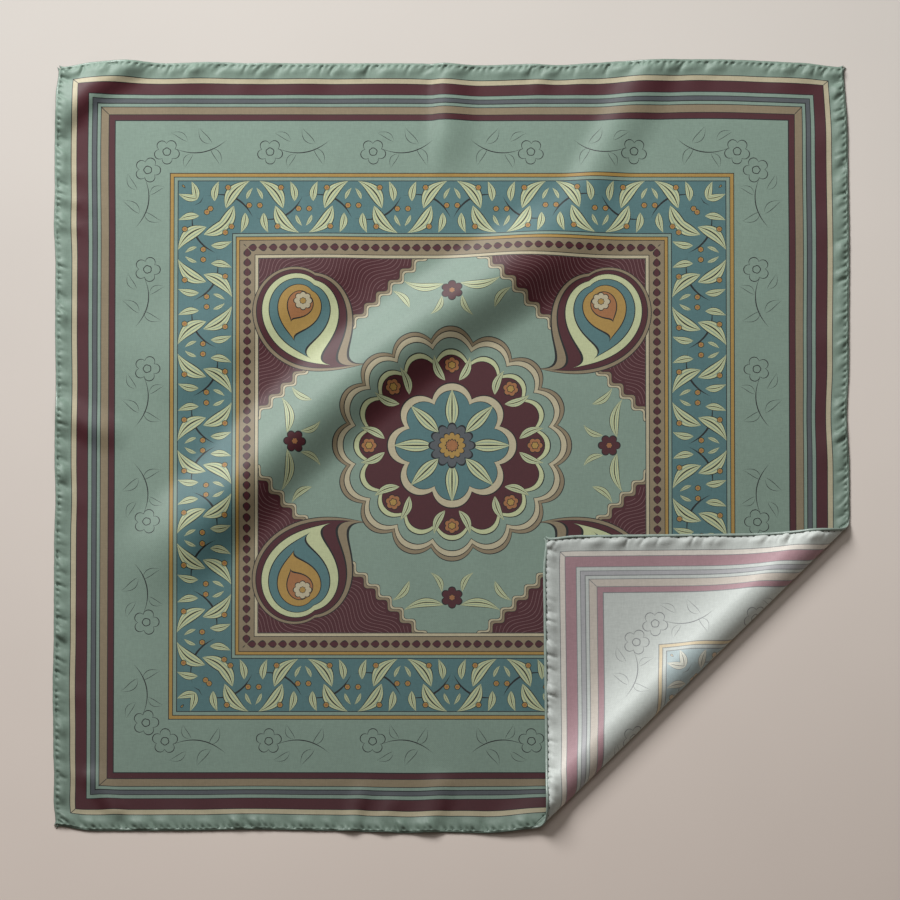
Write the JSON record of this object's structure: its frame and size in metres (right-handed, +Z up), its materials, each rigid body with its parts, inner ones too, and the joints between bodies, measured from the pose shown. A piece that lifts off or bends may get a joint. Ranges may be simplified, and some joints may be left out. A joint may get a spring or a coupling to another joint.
{
  "type": "silk square scarf",
  "caption": "Silk square scarf lying flat and face up, with one corner turned back to show its paler underside.",
  "frame": {"origin": "centre of the scarf's plan, on the surface it lies on", "axes": "+Z up off the surface, +X to the viewer's right, +Y away from the viewer towards the far edge"},
  "size_m": [0.903, 0.9076, 0.0222],
  "materials": {
    "silk_face": "satin",
    "silk_underside": "satin",
    "hem_face": "satin",
    "hem_underside": "satin"
  },
  "bodies": {
    "root": {"panel": "silk_face", "turned_corner": "silk_underside", "hem_left": "hem_face", "hem_top": "hem_face", "hem_right": "hem_face", "hem_bottom": "hem_face", "hem_turned_top": "hem_underside", "hem_turned_side": "hem_underside"}
  },
  "joints": []
}
